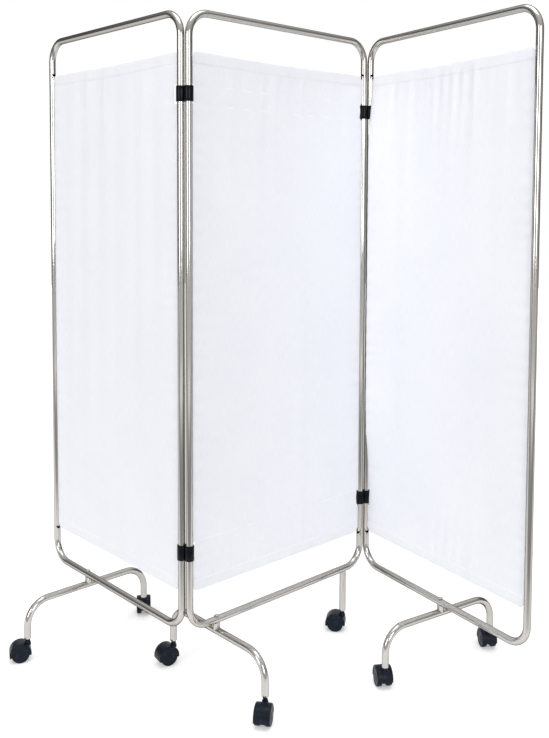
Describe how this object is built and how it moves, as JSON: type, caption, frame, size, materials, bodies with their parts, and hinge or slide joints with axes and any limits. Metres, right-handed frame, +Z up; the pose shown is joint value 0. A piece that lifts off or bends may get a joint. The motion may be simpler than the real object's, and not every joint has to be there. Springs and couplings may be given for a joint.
{
  "type": "privacy screen",
  "caption": "Folding ward privacy screen: tubular steel frames with stretched white curtains, hinged by ring clips, on crossbar feet with hooded castors.",
  "frame": {"origin": "on the floor, under the middle of the bounding box", "axes": "+Z up; the middle panel lies along X; -Y is the side the picture was taken from"},
  "size_m": [1.134, 1.3558, 1.8127],
  "materials": {
    "tube_steel": "satin stainless tube",
    "fastener_steel": "zinc-plated steel",
    "curtain_cloth": "plain-weave white cloth with stitched hems",
    "clip_plastic": "moulded black plastic",
    "castor_hood": "moulded blue-black plastic",
    "castor_wheel": "moulded blue-black plastic"
  },
  "bodies": {
    "middle_panel": {"middle_frame": "tube_steel", "middle_curtain": "curtain_cloth", "middle_crossbar": "tube_steel", "middle_post": "tube_steel", "middle_bolt": "fastener_steel", "middle_leg": "tube_steel", "middle_front_castor_stem": "fastener_steel", "middle_rear_castor_stem": "fastener_steel", "middle_end_castor_stem": "fastener_steel"},
    "left_clips": {"left_clip_bottom": "clip_plastic", "left_clip_top": "clip_plastic"},
    "left_panel": {"left_frame": "tube_steel", "left_curtain": "curtain_cloth", "left_crossbar": "tube_steel", "left_post": "tube_steel", "left_bolt": "fastener_steel", "left_front_castor_stem": "fastener_steel", "left_rear_castor_stem": "fastener_steel"},
    "right_clips": {"right_clip_bottom": "clip_plastic", "right_clip_top": "clip_plastic"},
    "right_panel": {"right_frame": "tube_steel", "right_curtain": "curtain_cloth", "right_crossbar": "tube_steel", "right_post": "tube_steel", "right_bolt": "fastener_steel", "right_front_castor_stem": "fastener_steel", "right_rear_castor_stem": "fastener_steel"},
    "middle_front_castor": {"middle_front_castor_hood": "castor_hood", "middle_front_castor_axle": "fastener_steel"},
    "middle_front_castor_left_wheel": {"middle_front_castor_wheel_left": "castor_wheel"},
    "middle_front_castor_right_wheel": {"middle_front_castor_wheel_right": "castor_wheel"},
    "middle_rear_castor": {"middle_rear_castor_hood": "castor_hood", "middle_rear_castor_axle": "fastener_steel"},
    "middle_rear_castor_left_wheel": {"middle_rear_castor_wheel_left": "castor_wheel"},
    "middle_rear_castor_right_wheel": {"middle_rear_castor_wheel_right": "castor_wheel"},
    "middle_end_castor": {"middle_end_castor_hood": "castor_hood", "middle_end_castor_axle": "fastener_steel"},
    "middle_end_castor_left_wheel": {"middle_end_castor_wheel_left": "castor_wheel"},
    "middle_end_castor_right_wheel": {"middle_end_castor_wheel_right": "castor_wheel"},
    "left_front_castor": {"left_front_castor_hood": "castor_hood", "left_front_castor_axle": "fastener_steel"},
    "left_front_castor_left_wheel": {"left_front_castor_wheel_left": "castor_wheel"},
    "left_front_castor_right_wheel": {"left_front_castor_wheel_right": "castor_wheel"},
    "left_rear_castor": {"left_rear_castor_hood": "castor_hood", "left_rear_castor_axle": "fastener_steel"},
    "left_rear_castor_left_wheel": {"left_rear_castor_wheel_left": "castor_wheel"},
    "left_rear_castor_right_wheel": {"left_rear_castor_wheel_right": "castor_wheel"},
    "right_front_castor": {"right_front_castor_hood": "castor_hood", "right_front_castor_axle": "fastener_steel"},
    "right_front_castor_left_wheel": {"right_front_castor_wheel_left": "castor_wheel"},
    "right_front_castor_right_wheel": {"right_front_castor_wheel_right": "castor_wheel"},
    "right_rear_castor": {"right_rear_castor_hood": "castor_hood", "right_rear_castor_axle": "fastener_steel"},
    "right_rear_castor_left_wheel": {"right_rear_castor_wheel_left": "castor_wheel"},
    "right_rear_castor_right_wheel": {"right_rear_castor_wheel_right": "castor_wheel"}
  },
  "joints": [
    {"name": "left_clips_turn", "type": "hinge", "parent": "middle_panel", "child": "left_clips", "pos_m": [-0.29859, -0.01036, 0.8535], "axis": [0, 0, 1], "range_deg": [-30, 150]},
    {"name": "left_panel_turn", "type": "hinge", "parent": "left_clips", "child": "left_panel", "pos_m": [-0.30959, 0.0087, 0.8535], "axis": [0, 0, 1], "range_deg": [-60.3, 119.7]},
    {"name": "right_clips_turn", "type": "hinge", "parent": "middle_panel", "child": "right_clips", "pos_m": [0.36141, -0.01036, 0.8535], "axis": [0, 0, 1], "range_deg": [-69, 111]},
    {"name": "right_panel_turn", "type": "hinge", "parent": "right_clips", "child": "right_panel", "pos_m": [0.38194, -0.01824, 0.8535], "axis": [0, 0, 1], "range_deg": [-11.1, 168.9]},
    {"name": "middle_front_castor_swivel", "type": "hinge", "parent": "middle_panel", "child": "middle_front_castor", "pos_m": [-0.20859, -0.20936, 0.05], "axis": [0, 0, 1], "continuous": true},
    {"name": "middle_front_castor_left_spin", "type": "hinge", "parent": "middle_front_castor", "child": "middle_front_castor_left_wheel", "pos_m": [-0.21682, -0.23334, 0.025], "axis": [0.6018, -0.7986, 0], "continuous": true},
    {"name": "middle_front_castor_right_spin", "type": "hinge", "parent": "middle_front_castor", "child": "middle_front_castor_right_wheel", "pos_m": [-0.23391, -0.21065, 0.025], "axis": [0.6018, -0.7986, 0], "continuous": true},
    {"name": "middle_rear_castor_swivel", "type": "hinge", "parent": "middle_panel", "child": "middle_rear_castor", "pos_m": [-0.20859, 0.18864, 0.05], "axis": [0, 0, 1], "continuous": true},
    {"name": "middle_rear_castor_left_spin", "type": "hinge", "parent": "middle_rear_castor", "child": "middle_rear_castor_left_wheel", "pos_m": [-0.23174, 0.1783, 0.025], "axis": [-0.1736, -0.9848, 0], "continuous": true},
    {"name": "middle_rear_castor_right_spin", "type": "hinge", "parent": "middle_rear_castor", "child": "middle_rear_castor_right_wheel", "pos_m": [-0.22681, 0.20627, 0.025], "axis": [-0.1736, -0.9848, 0], "continuous": true},
    {"name": "middle_end_castor_swivel", "type": "hinge", "parent": "middle_panel", "child": "middle_end_castor", "pos_m": [0.28641, -0.01036, 0.05], "axis": [0, 0, 1], "continuous": true},
    {"name": "middle_end_castor_left_spin", "type": "hinge", "parent": "middle_end_castor", "child": "middle_end_castor_left_wheel", "pos_m": [0.26229, -0.00255, 0.025], "axis": [-0.788, -0.6157, 0], "continuous": true},
    {"name": "middle_end_castor_right_spin", "type": "hinge", "parent": "middle_end_castor", "child": "middle_end_castor_right_wheel", "pos_m": [0.28467, 0.01493, 0.025], "axis": [-0.788, -0.6157, 0], "continuous": true},
    {"name": "left_front_castor_swivel", "type": "hinge", "parent": "left_panel", "child": "left_front_castor", "pos_m": [-0.51107, 0.48165, 0.05], "axis": [0, 0, 1], "continuous": true},
    {"name": "left_front_castor_left_spin", "type": "hinge", "parent": "left_front_castor", "child": "left_front_castor_left_wheel", "pos_m": [-0.53601, 0.47709, 0.025], "axis": [-0.4019, -0.9157, 0], "continuous": true},
    {"name": "left_front_castor_right_spin", "type": "hinge", "parent": "left_front_castor", "child": "left_front_castor_right_wheel", "pos_m": [-0.52459, 0.50309, 0.025], "axis": [-0.4019, -0.9157, 0], "continuous": true},
    {"name": "left_rear_castor_swivel", "type": "hinge", "parent": "left_panel", "child": "left_rear_castor", "pos_m": [-0.11308, 0.48373, 0.05], "axis": [0, 0, 1], "continuous": true},
    {"name": "left_rear_castor_left_spin", "type": "hinge", "parent": "left_rear_castor", "child": "left_rear_castor_left_wheel", "pos_m": [-0.11324, 0.50908, 0.025], "axis": [-0.832, 0.5548, 0], "continuous": true},
    {"name": "left_rear_castor_right_spin", "type": "hinge", "parent": "left_rear_castor", "child": "left_rear_castor_right_wheel", "pos_m": [-0.08961, 0.49332, 0.025], "axis": [-0.832, 0.5548, 0], "continuous": true},
    {"name": "right_front_castor_swivel", "type": "hinge", "parent": "right_panel", "child": "right_front_castor", "pos_m": [0.12694, -0.32192, 0.05], "axis": [0, 0, 1], "continuous": true},
    {"name": "right_front_castor_left_spin", "type": "hinge", "parent": "right_front_castor", "child": "right_front_castor_left_wheel", "pos_m": [0.12642, -0.29657, 0.025], "axis": [-0.8396, 0.5432, 0], "continuous": true},
    {"name": "right_front_castor_right_spin", "type": "hinge", "parent": "right_front_castor", "child": "right_front_castor_right_wheel", "pos_m": [0.15027, -0.312, 0.025], "axis": [-0.8396, 0.5432, 0], "continuous": true},
    {"name": "right_rear_castor_swivel", "type": "hinge", "parent": "right_panel", "child": "right_rear_castor", "pos_m": [0.51901, -0.39035, 0.05], "axis": [0, 0, 1], "continuous": true},
    {"name": "right_rear_castor_left_spin", "type": "hinge", "parent": "right_rear_castor", "child": "right_rear_castor_left_wheel", "pos_m": [0.51982, -0.36501, 0.025], "axis": [-0.81, 0.5864, 0], "continuous": true},
    {"name": "right_rear_castor_right_spin", "type": "hinge", "parent": "right_rear_castor", "child": "right_rear_castor_right_wheel", "pos_m": [0.54283, -0.38166, 0.025], "axis": [-0.81, 0.5864, 0], "continuous": true}
  ]
}
